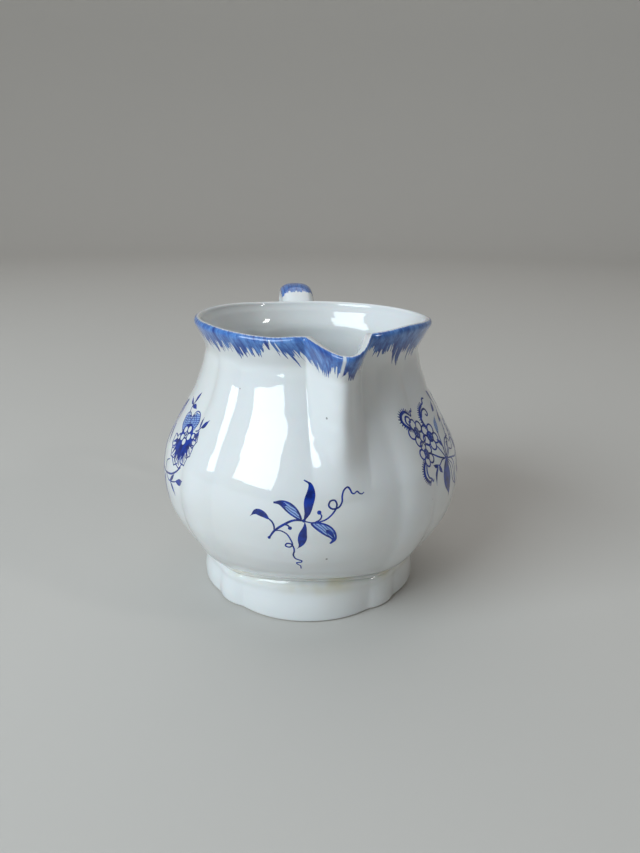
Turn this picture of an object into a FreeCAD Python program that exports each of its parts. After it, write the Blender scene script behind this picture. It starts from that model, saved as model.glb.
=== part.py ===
"""Porcelain cream jug: a lobed vessel with a pulled pouring lip, a scalloped foot ring and an ear handle.

Millimetres, +Z up. The origin is the centre of the foot ring on the plane that the jug stands on. The handle
points along +Y, and the pouring lip points along -Y, turned a few degrees from it towards +X.
The jug is built as the potter builds it: a vessel, a foot ring and a handle, luted together with slip.
"""

import FreeCAD
import Part

import math
import os

import Sketcher

from FreeCAD import Placement, Rotation, Vector

OUTPUT_FOLDER = "parts"

# Alias, value and meaning. Lengths are millimetres and angles are degrees.
SIZES = [
    ("rim_height", 98.0, "height of the rim's crest above the table"),
    ("rim_radius", 41.4, "outside of the rim"),
    ("lip_thickness", 2.6, "thickness of the rim"),
    ("neck_height", 86.5, "height of the neck's narrowest ring"),
    ("neck_radius", 36.9, "outside of the neck, in a groove"),
    ("shoulder_height", 67.0, "height of the shoulder, between belly and neck"),
    ("shoulder_radius", 44.1, "outside of the shoulder, in a groove"),
    ("belly_height", 43.0, "height of the widest ring"),
    ("belly_radius", 52.7, "outside of the belly, in a groove"),
    ("hip_height", 24.0, "height of the lower belly"),
    ("hip_radius", 47.3, "outside of the lower belly, in a groove"),
    ("seat_height", 13.0, "height of the foot ring's top, where the vessel sits"),
    ("seat_radius", 36.4, "outside of the vessel's underside, in a groove"),
    ("wall", 3.0, "thickness of the vessel's wall"),
    ("base_thickness", 4.0, "thickness of the vessel's floor"),
    ("panel_bulge", 1.5, "how far a wide lobe stands out past its grooves"),
    ("rib_bulge", 1.0, "how far a narrow lobe stands out past its grooves"),
    ("rib_angle", 20.0, "angle that a narrow lobe takes"),
    ("lobe_turn", -8.3, "direction of the front wide lobe, from -Y towards +X"),
    ("spout_turn", 4.7, "direction of the pouring lip, from -Y towards +X"),
    ("spout_reach", 12.6, "how far the lip's tip stands out past the rim"),
    ("spout_half_angle", 15.0, "half the angle that the lip takes at the rim"),
    ("spout_foot_height", 50.0, "height where the lip's keel runs out on the belly"),
    ("spout_dip", 2.7, "how far the lip's tip lies under the rim"),
    ("spout_inner_narrowing", 2.6, "how much narrower half the lip's angle is on the inside"),
    ("rim_lean", 1.1, "how far the hand-made vessel's rim leans towards +X"),
    ("foot_radius", 40.2, "outside of the foot ring at the table"),
    ("foot_waist_radius", 37.6, "outside of the foot ring at its top"),
    ("foot_side_height", 5.0, "height of the foot ring's upright side"),
    ("foot_side_lean", 0.3, "how far the foot ring's side leans in over its height"),
    ("foot_waist_height", 2.5, "height of the foot ring's waist, under its top"),
    ("foot_bore_radius", 34.0, "inside of the foot ring at the table"),
    ("foot_bore_top_radius", 32.4, "inside of the foot ring at its top"),
    ("foot_edge_round", 0.9, "rounding of the foot ring's resting edge"),
    ("notch_radius", 3.2, "radius of a notch between two scallops of the foot ring"),
    ("notch_depth", 1.4, "depth of a notch between two scallops of the foot ring"),
    ("handle_top", 103.1, "height of the handle's highest point"),
    ("handle_reach", 73.8, "distance of the handle's back from the jug's axis"),
    ("handle_bend", 12.0, "radius of the handle's bend behind its top"),
    ("handle_root_height", 85.5, "height of the handle's upper joint"),
    ("handle_root_depth", 34.5, "distance of the upper end from the jug's axis, inside the wall"),
    ("handle_tail_height", 38.0, "height of the handle's lower joint"),
    ("handle_tail_depth", 48.0, "distance of the lower end from the jug's axis, inside the wall"),
    ("strap_width", 13.4, "width of the handle's strap"),
    ("strap_thickness", 7.4, "thickness of the handle's strap"),
    ("luting_spread", 2.0, "how far the slip stands out round the handle at a joint"),
    ("luting_edge", 0.2, "thickness of the slip's edge on the handle"),
    ("upper_luting_length", 10.0, "how far the slip runs along the handle from its upper end"),
    ("lower_luting_length", 11.0, "how far the slip runs along the handle from its lower end"),
    ("luting_bead", 1.3, "radius of the slip bead round the foot joint"),
]

# The rim's height over its crest around the jug: angle from -Y towards +X, and height.
RIM_WAVE = [(-170.0, 0.0), (-125.0, 1.1), (-70.0, 1.1), (-25.0, 0.0), (-12.0, 0.7), (22.0, 1.2), (42.0, 2.0),
            (66.0, 1.2), (105.0, 0.0), (150.0, 0.0)]
POINTS_AROUND = 96
LOBES = 4

# The vessel's wall bends to a wide lobe with this power of the angle, and to a narrow lobe with the other one.
PANEL_POWER = 2.4
RIB_POWER = 2.0
GROOVE_SOFTNESS = 0.12

# The overlap that a cut may leave, in cubic millimetres.
LARGEST_OVERLAP = 0.1

document = FreeCAD.newDocument("cream_jug")


# ---------------------------------------------------------------------------------------------- the sheet
def make_sheet():
    """The spreadsheet that holds the driving dimensions, one alias for each."""
    sheet = document.addObject("Spreadsheet::Sheet", "sizes")
    for row, (alias, value, meaning) in enumerate(SIZES, start=1):
        sheet.set("A%d" % row, meaning)
        sheet.set("B%d" % row, repr(value))
        sheet.setAlias("B%d" % row, alias)
    document.recompute()
    return sheet


sizes = make_sheet()


# ---------------------------------------------------------------------------------------- shape functions
def smooth(knots, x):
    """A smooth curve through the knots (x, y), which never overshoots between two of them."""
    if x <= knots[0][0]:
        return knots[0][1]
    if x >= knots[-1][0]:
        return knots[-1][1]
    slopes = [(b[1] - a[1]) / (b[0] - a[0]) for a, b in zip(knots, knots[1:])]
    tangents = [slopes[0]]
    for before, after in zip(slopes, slopes[1:]):
        tangents.append(0.0 if before * after <= 0 else 2 * before * after / (before + after))
    tangents.append(slopes[-1])
    i = max(k for k in range(len(slopes)) if knots[k][0] <= x)
    (x0, y0), (x1, y1) = knots[i], knots[i + 1]
    width = x1 - x0
    s = (x - x0) / width
    rise, fall = s * s * (3 - 2 * s), s * (1 - s)
    return y0 + (y1 - y0) * rise + width * fall * (tangents[i] * (1 - s) - tangents[i + 1] * s)


def turn_between(turn, centre):
    """The angle from centre to turn, from -180 to 180 degrees."""
    return (turn - centre + 180.0) % 360.0 - 180.0


def lobe_half_angle():
    """Half the angle that a wide lobe takes."""
    return (360.0 / LOBES - sizes.rib_angle) / 2


def soft_bump(share):
    """1 - share, rounded where it reaches nothing, so that two bumps meet in a soft groove."""
    level = math.hypot(1.0 - share, GROOVE_SOFTNESS) - GROOVE_SOFTNESS
    return level / (math.hypot(1.0, GROOVE_SOFTNESS) - GROOVE_SOFTNESS)


def lobe(turn):
    """How far the lobed outline stands out past its grooves at this angle."""
    step = 360.0 / LOBES
    off = abs((turn - sizes.lobe_turn + step / 2) % step - step / 2)
    if off <= lobe_half_angle():
        return sizes.panel_bulge * soft_bump((off / lobe_half_angle()) ** PANEL_POWER)
    return sizes.rib_bulge * soft_bump(((step / 2 - off) / (sizes.rib_angle / 2)) ** RIB_POWER)


def lobe_share(height):
    """The share of the lobes' relief that the vessel has at this height."""
    return smooth([
        (sizes.seat_height, 0.9),
        (sizes.hip_height, 1.0),
        (sizes.shoulder_height + 8, 1.0),
        (sizes.neck_height - 2, 0.8),
        (sizes.neck_height + 3, 0.12),
        (sizes.rim_height - 1, 0.0),
    ], height)


def rim_wave(turn):
    """The rim's height over its crest at this angle, away from the lip's own dip."""
    last, first = RIM_WAVE[-1], RIM_WAVE[0]
    knots = [(last[0] - 360.0, last[1])] + RIM_WAVE + [(first[0] + 360.0, first[1])]
    return smooth(knots, turn_between(turn, 0.0))


def spout_keel(height):
    """How round the lip's keel is at this height."""
    return smooth([(sizes.spout_foot_height + 24, 0.34), (sizes.rim_height, 0.5)], height)


def spout_share(turn, height, narrowing):
    """1 on the lip's keel and 0 at its sides, with a rounded keel and sides that blend into the rim."""
    keel = spout_keel(height)
    share = abs(turn_between(turn, sizes.spout_turn)) / (spout_half_angle(height) - narrowing)
    if share >= 1.0:
        return 0.0
    level = (math.hypot(1.0, keel) - math.hypot(share, keel)) / (math.hypot(1.0, keel) - keel)
    return level ** 1.25


def spout_rise(height):
    """0 where the lip's keel runs out on the belly, and 1 at the rim."""
    return (height - sizes.spout_foot_height) / (sizes.rim_height - sizes.spout_foot_height)


def spout_reach(height):
    """How far the lip's keel stands out past the vessel at this height."""
    knots = [(0.0, 0.0), (0.19, 0.18), (0.35, 0.47), (0.52, 0.73), (0.67, 0.9), (0.8, 0.94), (1.0, 1.0)]
    return sizes.spout_reach * smooth(knots, spout_rise(height))


def spout_half_angle(height):
    """Half the angle that the lip takes at this height."""
    return sizes.spout_half_angle * (0.66 + 0.34 * max(0.0, spout_rise(height)))


def vessel_profile(height):
    """The vessel's outside radius in its grooves."""
    return smooth([
        (sizes.seat_height, sizes.seat_radius),
        (sizes.seat_height + 4, sizes.seat_radius + 5.9),
        (sizes.hip_height, sizes.hip_radius),
        (sizes.belly_height - 8, sizes.belly_radius - 1.0),
        (sizes.belly_height, sizes.belly_radius),
        (sizes.belly_height + 8, sizes.belly_radius - 1.0),
        (sizes.shoulder_height, sizes.shoulder_radius),
        (sizes.shoulder_height + 8, sizes.shoulder_radius - 4.2),
        (sizes.neck_height, sizes.neck_radius),
        (sizes.neck_height + 6.5, sizes.neck_radius + 2.6),
        (sizes.rim_height, sizes.rim_radius),
    ], height)


def around(turn, radius, height):
    """The point at this angle, distance from the axis and height."""
    angle = math.radians(turn)
    return Vector(radius * math.sin(angle), -radius * math.cos(angle), height)


def lean(height):
    """How far the vessel has leaned towards +X at this height."""
    knots = [(sizes.seat_height, 0.5), (sizes.neck_height - 6, 0.55), (sizes.rim_height, 1.0)]
    return Vector(sizes.rim_lean * smooth(knots, height), 0, 0)


def vessel_point(turn, radius, height, inside):
    """A point of the vessel's skin: its plain profile, with the lobes, the lip and the rim's wave added."""
    keel = spout_share(turn, height, sizes.spout_inner_narrowing if inside else 0.0)
    out = radius + lobe(turn) * lobe_share(height) + spout_reach(height) * keel
    lift = smooth([(sizes.neck_height - 8, 0.0), (sizes.rim_height, 1.0)], height)
    level = height + lift * (rim_wave(turn) * (1 - keel) - sizes.spout_dip * keel)
    return around(turn, out, level) + lean(height)


def ring_turns():
    """The angles of the points around a ring. The first, where the skin's seam runs, is clear of the handle."""
    return [90.0 + 360.0 * k / POINTS_AROUND for k in range(POINTS_AROUND)]


# ---------------------------------------------------------------------------------------- skins and solids
def skin_surface(rings):
    """A B-spline surface through rings of points, from the first ring to the last."""
    ring_parameters = [k / len(rings[0]) for k in range(len(rings[0]) + 1)]
    rows = []
    for ring in rings:
        curve = Part.BSplineCurve()
        curve.interpolate(Points=ring, PeriodicFlag=True, Parameters=ring_parameters)
        rows.append(curve.getPoles())
    ring_knots, ring_counts = curve.getKnots(), curve.getMultiplicities()
    across = [0.0]
    for here, there in zip(rings, rings[1:]):
        across.append(across[-1] + math.sqrt(max(a.distanceToPoint(b) for a, b in zip(here, there))))
    across = [value / across[-1] for value in across]
    columns = []
    for column in zip(*rows):
        curve = Part.BSplineCurve()
        curve.interpolate(Points=list(column), Parameters=across)
        columns.append(curve.getPoles())
    surface = Part.BSplineSurface()
    surface.buildFromPolesMultsKnots(columns, ring_counts, curve.getMultiplicities(), ring_knots,
                                     curve.getKnots(), True, False, 3, 3)
    return surface


def capped_solid(rings):
    """The solid inside a skin whose first and last rings are flat, each closed with a flat face."""
    skin = skin_surface(rings).toShape()
    seam_ends = [edge for edge in skin.Edges if edge.isClosed()]
    shell = Part.makeShell([skin] + [Part.Face(Part.Wire([edge])) for edge in seam_ends])
    shell.sewShape()
    solid = Part.makeSolid(shell)
    if solid.Volume < 0:
        solid.reverse()
    return solid


def feature(name, shape):
    """A shape that no PartDesign or Part feature makes."""
    made = document.addObject("Part::Feature", name)
    made.Shape = shape
    made.Placement = Placement()
    return made


def trimmed(name, base, tools):
    """A sub-part: what is left of base outside every tool, without the stubs that end inside the bowl.

    What joins the vessel's outside does so on the handle's side, so the outer solid lies furthest along +Y.
    """
    for number, tool in enumerate(tools, start=1):
        cut = document.addObject("Part::Cut", "%s_cut_%d" % (name, number))
        cut.Base = base
        cut.Tool = tool
        base = cut
    document.recompute()
    return feature(name, max(base.Shape.Solids, key=lambda solid: solid.CenterOfMass.y))


# ------------------------------------------------------------------------------------------------- vessel
def outside_ring(height):
    """The vessel's outside at this height."""
    return [vessel_point(turn, vessel_profile(height), height, False) for turn in ring_turns()]


def outside_heights():
    """The heights of the vessel's outside rings, closer together where the profile bends more."""
    rises = (0.0, 1.6, 3.6, 6.5, 11, 17, 24, 31, 38, 45, 51, 57, 62.5, 67.5, 72, 76, 80)
    return [sizes.seat_height + rise for rise in rises]


def inside_ring(height):
    """The vessel's inside, a wall's thickness from the outside at this height."""
    step = 0.05
    lean = (vessel_profile(height + step) - vessel_profile(height - step)) / (2 * step)
    length = math.hypot(1.0, lean)
    radius = vessel_profile(height) - sizes.wall / length
    level = height + sizes.wall * lean / length
    return [vessel_point(turn, radius, level, True) for turn in ring_turns()]


def rim_ring(back):
    """The rounded rim, from its outside at 0 degrees over the crest at 90 to its inside at 180."""
    half = sizes.lip_thickness / 2
    radius = sizes.rim_radius - half + half * math.cos(math.radians(back))
    height = sizes.rim_height - half + half * math.sin(math.radians(back))
    return [vessel_point(turn, radius, height, back > 90) for turn in ring_turns()]


def floor_ring(share, rise):
    """A round ring of the vessel's inner floor, at a share of the seat's radius."""
    height = sizes.seat_height + sizes.base_thickness + rise
    return [around(turn, share * sizes.seat_radius, height) for turn in ring_turns()]


def make_vessel():
    """The vessel: one skin from the underside, up the outside, over the rim and down to the inner floor."""
    rings = [outside_ring(height) for height in outside_heights()]
    rings += [rim_ring(back) for back in (0, 45, 90, 135, 180)]
    rings += [inside_ring(height) for height in reversed(outside_heights()[4:])]
    rings += [floor_ring(1.0, 1.5), floor_ring(0.88, 0.35), floor_ring(0.72, 0.0), floor_ring(0.5, 0.0)]
    return feature("vessel", capped_solid(rings))


# ----------------------------------------------------------------------------------------- sketch helpers
def origin_item(body, role):
    """One of a body's own origin planes or axes."""
    return [item for item in body.Origin.OriginFeatures if item.Role == role][0]


def new_sketch(body, name, role):
    """A sketch on one of the body's origin planes."""
    sketch = body.newObject("Sketcher::SketchObject", name)
    sketch.AttachmentSupport = [(origin_item(body, role), "")]
    sketch.MapMode = "FlatFace"
    return sketch


def constrain(sketch, kind, *where):
    """A constraint without a number, such as a tangency."""
    sketch.addConstraint(Sketcher.Constraint(kind, *where))


def dimension(sketch, name, formula, kind, *where):
    """A dimension of the sketch that follows the sheet."""
    number = sketch.addConstraint(Sketcher.Constraint(kind, *where))
    sketch.renameConstraint(number, name)
    sketch.setExpression("Constraints." + name, formula)


def place_point(sketch, name, line, end, point, formulas):
    """Both coordinates of a point of the sketch, from the sheet."""
    dimension(sketch, name + "_across", formulas[0], "DistanceX", -1, 1, line, end, point[0])
    dimension(sketch, name + "_up", formulas[1], "DistanceY", -1, 1, line, end, point[1])


# --------------------------------------------------------------------------------------------- foot ring
def foot_section(body):
    """Half the foot ring's section: corner by corner, each placed by the sheet."""
    corners = [
        ("bore_foot", "sizes.foot_bore_radius", "0"),
        ("side_foot", "sizes.foot_radius", "0"),
        ("side_top", "sizes.foot_radius - sizes.foot_side_lean", "sizes.foot_side_height"),
        ("waist_foot", "sizes.foot_waist_radius", "sizes.seat_height - sizes.foot_waist_height"),
        ("waist_top", "sizes.foot_waist_radius", "sizes.seat_height"),
        ("bore_top", "sizes.foot_bore_top_radius", "sizes.seat_height"),
    ]
    points = [
        (sizes.foot_bore_radius, 0.0),
        (sizes.foot_radius, 0.0),
        (sizes.foot_radius - sizes.foot_side_lean, sizes.foot_side_height),
        (sizes.foot_waist_radius, sizes.seat_height - sizes.foot_waist_height),
        (sizes.foot_waist_radius, sizes.seat_height),
        (sizes.foot_bore_top_radius, sizes.seat_height),
    ]
    sketch = new_sketch(body, "foot_section", "XZ_Plane")
    for start, end in zip(points, points[1:] + points[:1]):
        sketch.addGeometry(Part.LineSegment(Vector(*start, 0), Vector(*end, 0)), False)
    for number in range(len(points)):
        constrain(sketch, "Coincident", number, 2, (number + 1) % len(points), 1)
    for number, (name, across, up) in enumerate(corners):
        place_point(sketch, name, number, 1, points[number], (across, up))
    return sketch


def circles_at(shape, height):
    """The names of the shape's round edges that lie at this height."""
    names = []
    for number, edge in enumerate(shape.Edges, start=1):
        box = edge.BoundBox
        if edge.isClosed() and abs(box.ZMin - height) < 1e-6 and abs(box.ZMax - height) < 1e-6:
            names.append("Edge%d" % number)
    return names


def make_foot_ring():
    """The foot ring: a turned ring with a rounded resting edge and two notches for each wide lobe."""
    body = document.addObject("PartDesign::Body", "foot_ring")
    ring = body.newObject("PartDesign::Revolution", "foot_turning")
    ring.Profile = foot_section(body)
    ring.ReferenceAxis = (origin_item(body, "Z_Axis"), [""])
    ring.Angle = 360.0
    document.recompute()
    edges = body.newObject("PartDesign::Fillet", "foot_resting_edge")
    edges.Base = (ring, circles_at(ring.Shape, 0.0))
    edges.setExpression("Radius", "sizes.foot_edge_round")
    sketch = new_sketch(body, "foot_notch_circles", "XY_Plane")
    distance = sizes.foot_radius + sizes.notch_radius - sizes.notch_depth
    for number, side in enumerate((-1, 1)):
        turn = sizes.lobe_turn + side * lobe_half_angle()
        sketch.addGeometry(Part.Circle(around(turn, distance, 0), Vector(0, 0, 1), sizes.notch_radius), False)
        dimension(sketch, "radius_%d" % number, "sizes.notch_radius", "Radius", number, sizes.notch_radius)
        centre = around(turn, distance, 0)
        reach = "(sizes.foot_radius + sizes.notch_radius - sizes.notch_depth)"
        angle = "(sizes.lobe_turn + %d * (45 - sizes.rib_angle / 2)) * 1 deg" % side
        place_point(sketch, "notch_%d" % number, number, 3, (centre.x, centre.y),
                    ("%s * sin(%s)" % (reach, angle), "-%s * cos(%s)" % (reach, angle)))
    document.recompute()
    notches = body.newObject("PartDesign::Pocket", "foot_notches")
    notches.Profile = sketch
    notches.Type = "ThroughAll"
    notches.Reversed = True
    document.recompute()
    pattern = body.newObject("PartDesign::PolarPattern", "foot_scallops")
    pattern.Originals = [notches]
    pattern.Axis = (origin_item(body, "Z_Axis"), [""])
    pattern.Angle = 360.0
    pattern.Occurrences = LOBES
    body.Tip = pattern
    document.recompute()
    if not pattern.Shape.Volume < notches.Shape.Volume < edges.Shape.Volume:
        raise RuntimeError("the foot ring's notches cut nothing")
    return body


# ------------------------------------------------------------------------------------------------- handle
def handle_path():
    """The handle's middle line in the YZ plane: the ends, the top and the back, and the three arcs' centres."""
    half = sizes.strap_thickness / 2
    top = (sizes.handle_reach - half - sizes.handle_bend, sizes.handle_top - half)
    back = (top[0] + sizes.handle_bend, top[1] - sizes.handle_bend)
    root = (sizes.handle_root_depth, sizes.handle_root_height)
    tail = (sizes.handle_tail_depth, sizes.handle_tail_height)
    rise, run = top[1] - root[1], top[0] - root[0]
    rising_radius = (run ** 2 + rise ** 2) / (2 * rise)
    fall, pull = back[1] - tail[1], back[0] - tail[0]
    falling_radius = (pull ** 2 + fall ** 2) / (2 * pull)
    return {"root": root, "top": top, "back": back, "tail": tail,
            "rising_centre": (top[0], top[1] - rising_radius), "bend_centre": (top[0], back[1]),
            "falling_centre": (back[0] - falling_radius, back[1])}


PATH_FORMULAS = {
    "root": ("sizes.handle_root_depth", "sizes.handle_root_height"),
    "top": ("sizes.handle_reach - sizes.strap_thickness / 2 - sizes.handle_bend",
            "sizes.handle_top - sizes.strap_thickness / 2"),
    "back": ("sizes.handle_reach - sizes.strap_thickness / 2",
             "sizes.handle_top - sizes.strap_thickness / 2 - sizes.handle_bend"),
    "tail": ("sizes.handle_tail_depth", "sizes.handle_tail_height"),
}


def arc(centre, start, end):
    """The arc that runs counterclockwise from start to end."""
    radius = math.hypot(start[0] - centre[0], start[1] - centre[1])
    angles = [math.atan2(point[1] - centre[1], point[0] - centre[0]) for point in (start, end)]
    if angles[1] < angles[0]:
        angles[1] += 2 * math.pi
    return Part.ArcOfCircle(Part.Circle(Vector(*centre, 0), Vector(0, 0, 1), radius), *angles)


def handle_spines(body):
    """Two sketches that start at the handle's top: one runs to the upper joint, and one to the lower joint."""
    path = handle_path()
    rising = new_sketch(body, "handle_rising_line", "YZ_Plane")
    rising.addGeometry(arc(path["rising_centre"], path["top"], path["root"]), False)
    place_point(rising, "top", 0, 1, path["top"], PATH_FORMULAS["top"])
    place_point(rising, "root", 0, 2, path["root"], PATH_FORMULAS["root"])
    constrain(rising, "Vertical", 0, 1, 0, 3)
    falling = new_sketch(body, "handle_falling_line", "YZ_Plane")
    falling.addGeometry(arc(path["bend_centre"], path["back"], path["top"]), False)
    falling.addGeometry(arc(path["falling_centre"], path["tail"], path["back"]), False)
    constrain(falling, "Coincident", 1, 2, 0, 1)
    place_point(falling, "top", 0, 2, path["top"], PATH_FORMULAS["top"])
    place_point(falling, "back", 0, 1, path["back"], PATH_FORMULAS["back"])
    place_point(falling, "tail", 1, 1, path["tail"], PATH_FORMULAS["tail"])
    constrain(falling, "Vertical", 0, 2, 0, 3)
    constrain(falling, "Horizontal", 1, 2, 1, 3)
    return rising, falling


def strap_section(body, name):
    """The strap's section at the handle's top: flat above and below, round at both sides."""
    sketch = new_sketch(body, name, "XZ_Plane")
    top = handle_path()["top"]
    sketch.AttachmentOffset = Placement(Vector(0, top[1], -top[0]), Rotation())
    sketch.setExpression("AttachmentOffset.Base.y", PATH_FORMULAS["top"][1])
    sketch.setExpression("AttachmentOffset.Base.z", "-(%s)" % PATH_FORMULAS["top"][0])
    half = sizes.strap_thickness / 2
    side = sizes.strap_width / 2 - half
    sketch.addGeometry(arc((side, 0), (side, -half), (side, half)), False)
    sketch.addGeometry(Part.LineSegment(Vector(side, half, 0), Vector(-side, half, 0)), False)
    sketch.addGeometry(arc((-side, 0), (-side, half), (-side, -half)), False)
    sketch.addGeometry(Part.LineSegment(Vector(-side, -half, 0), Vector(side, -half, 0)), False)
    for number in range(4):
        constrain(sketch, "Tangent", number, 2, (number + 1) % 4, 1)
    for number, sign in ((0, ""), (2, "-")):
        formula = "%s(sizes.strap_width - sizes.strap_thickness) / 2" % sign
        place_point(sketch, "side_%d" % number, number, 3, (side if number == 0 else -side, 0.0),
                    (formula, "0"))
    dimension(sketch, "side_radius", "sizes.strap_thickness / 2", "Radius", 0, half)
    return sketch


def make_handle_strap():
    """The handle's strap, drawn both ways from its top, with both ends still inside the vessel."""
    body = document.addObject("PartDesign::Body", "handle_strap")
    for name, spine in zip(("rising", "falling"), handle_spines(body)):
        section = strap_section(body, "handle_%s_section" % name)
        document.recompute()
        pipe = body.newObject("PartDesign::AdditivePipe", "handle_" + name)
        pipe.Profile = section
        pipe.Spine = (spine, [])
        pipe.Transition = "Transformed"
        document.recompute()
    return body


# ------------------------------------------------------------------------------------------- slip lutings
def luting_collar(name, centre, start, length):
    """A collar of slip round the strap, along its arc from start: wide at the joint and thin where it ends.

    A positive length runs counterclockwise round the arc's centre.
    """
    radius = math.hypot(start[0] - centre[0], start[1] - centre[1])
    first = math.atan2(start[1] - centre[1], start[0] - centre[0])
    half_width, half_thickness = sizes.strap_width / 2, sizes.strap_thickness / 2
    rings = []
    for share in (0, 0.125, 0.25, 0.375, 0.5, 0.625, 0.75, 0.875, 1):
        spread = sizes.luting_edge + sizes.luting_spread * (1 - share) ** 2
        angle = first + share * length / radius
        ring = []
        for turn in ring_turns():
            side = math.sin(math.radians(turn)) * (half_width + spread)
            out = radius + math.cos(math.radians(turn)) * (half_thickness + spread)
            ring.append(Vector(side, centre[0] + out * math.cos(angle), centre[1] + out * math.sin(angle)))
        rings.append(ring)
    return feature(name, capped_solid(rings))


def make_foot_bead():
    """The bead of slip in the corner under the vessel's overhang, round the foot ring's top."""
    bead = document.addObject("Part::Torus", "foot_bead")
    bead.setExpression("Radius1", "sizes.foot_waist_radius + sizes.luting_bead / 3")
    bead.setExpression("Radius2", "sizes.luting_bead")
    bead.setExpression("Placement.Base.z", "sizes.seat_height - sizes.luting_bead / 4")
    document.recompute()
    return bead


# ------------------------------------------------------------------------------------- building and export
def check_trimmed(part, vessel):
    """Stops the build if a sub-part that joins the vessel overlaps it."""
    overlap = part.Shape.common(vessel.Shape).Volume
    if overlap > LARGEST_OVERLAP:
        raise RuntimeError("%s overlaps the vessel by %.2f mm3" % (part.Label, overlap))


def check(parts):
    """Stops the build if an object of the document failed, or a sub-part isn't one valid solid."""
    for item in document.Objects:
        if "Invalid" in item.State or "Error" in item.State:
            raise RuntimeError("%s failed: %s" % (item.Name, item.State))
    for part in parts:
        shape = part.Shape
        if shape.isNull() or not shape.isValid() or len(shape.Solids) != 1:
            raise RuntimeError("%s isn't one valid solid" % part.Label)
        print("%-22s %8.0f mm3" % (part.Label, shape.Volume))


def build():
    """Every sub-part of the jug."""
    vessel = make_vessel()
    foot_ring = make_foot_ring()
    strap = make_handle_strap()
    path = handle_path()
    root_collar = luting_collar("upper_collar", path["rising_centre"], path["root"], -sizes.upper_luting_length)
    tail_collar = luting_collar("lower_collar", path["falling_centre"], path["tail"], sizes.lower_luting_length)
    parts = {
        "vessel": vessel,
        "foot_ring": foot_ring,
        "handle": trimmed("handle", strap, [vessel]),
        "foot_luting": trimmed("foot_luting", make_foot_bead(), [vessel, foot_ring]),
        "handle_upper_luting": trimmed("handle_upper_luting", root_collar, [strap, vessel]),
        "handle_lower_luting": trimmed("handle_lower_luting", tail_collar, [strap, vessel]),
    }
    for name, part in parts.items():
        part.Label = name
    document.recompute()
    for name in ("handle", "foot_luting", "handle_upper_luting", "handle_lower_luting"):
        check_trimmed(parts[name], vessel)
    return list(parts.values())


def export(parts):
    """One STEP file for each sub-part, named by its label."""
    os.makedirs(OUTPUT_FOLDER, exist_ok=True)
    for part in parts:
        part.Shape.exportStep(os.path.join(OUTPUT_FOLDER, part.Label + ".step"))


sub_parts = build()
check(sub_parts)
export(sub_parts)
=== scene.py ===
"""The porcelain cream jug's looks: white glaze, a feathered cobalt rim and printed flower sprays.

Lengths are millimetres until metres() turns them into the frame's metres. Lights are placed in metres.
Angles ("turns") are degrees from -Y, the lip's side, towards +X, so the handle is at 180.
"""

import math

import bmesh
import bpy
import numpy as np
from mathutils import Matrix, Vector


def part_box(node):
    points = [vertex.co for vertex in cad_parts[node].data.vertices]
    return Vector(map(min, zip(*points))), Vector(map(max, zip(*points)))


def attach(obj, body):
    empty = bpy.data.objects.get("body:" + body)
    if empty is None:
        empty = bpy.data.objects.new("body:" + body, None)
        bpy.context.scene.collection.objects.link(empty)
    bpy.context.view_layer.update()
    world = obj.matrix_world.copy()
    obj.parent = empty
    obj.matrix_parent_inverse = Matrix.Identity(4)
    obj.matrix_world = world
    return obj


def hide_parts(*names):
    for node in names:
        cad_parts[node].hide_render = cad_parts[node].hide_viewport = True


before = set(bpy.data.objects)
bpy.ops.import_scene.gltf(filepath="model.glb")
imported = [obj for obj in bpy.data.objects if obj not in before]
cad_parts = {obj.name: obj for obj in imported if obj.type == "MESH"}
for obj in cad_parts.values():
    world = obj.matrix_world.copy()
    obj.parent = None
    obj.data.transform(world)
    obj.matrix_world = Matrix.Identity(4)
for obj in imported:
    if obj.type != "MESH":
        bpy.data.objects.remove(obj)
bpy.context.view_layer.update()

# ------------------------------------------------------------------------------------------ driving sizes
MM = 0.001
RIM_HEIGHT = 98.0
RIM_RADIUS = 41.4
LIP_THICKNESS = 2.6
NECK_HEIGHT = 86.5
NECK_RADIUS = 36.9
SHOULDER_HEIGHT = 67.0
SHOULDER_RADIUS = 44.1
BELLY_HEIGHT = 43.0
BELLY_RADIUS = 52.7
HIP_HEIGHT = 24.0
HIP_RADIUS = 47.3
SEAT_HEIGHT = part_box("foot_ring")[1][2] / MM
SEAT_ARCH = 3.0
SEAT_RADIUS = 36.4
WALL = 3.0
BASE_THICKNESS = 4.0
PANEL_BULGE = 1.5
PANEL_POWER = 2.4
RIB_BULGE = 1.0
RIB_POWER = 2
RIB_ANGLE = 20.0
GROOVE_SOFTNESS = 0.2
LOBES = 4
LOBE_TURN = -8.3
PANEL_HALF_ANGLE = (360.0 / LOBES - RIB_ANGLE) / 2
SPOUT_TURN = 4.7
SPOUT_REACH = 12.6
SPOUT_HALF_ANGLE = 15.0
SPOUT_FOOT_HEIGHT = 50.0
SPOUT_DIP = 2.7
SPOUT_INNER_NARROWING = 2.6
RIM_LEAN = 1.1
FOOT_RADIUS = 40.2
FOOT_LOBES = 0.95
FOOT_BORE_RADIUS = 34.0
FOOT_BORE_TOP_RADIUS = 32.4
HANDLE_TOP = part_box("handle")[1][2] / MM
HANDLE_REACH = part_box("handle")[1][1] / MM
HANDLE_BEND = 12.0
HANDLE_ROOT = (34.5, 85.5)
HANDLE_TAIL = (48.0, 38.0)
STRAP_WIDTH = 13.4
STRAP_THICKNESS = 7.4
BEAD_RADIUS = 1.0
BEAD_LOBES = 0.75

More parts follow.
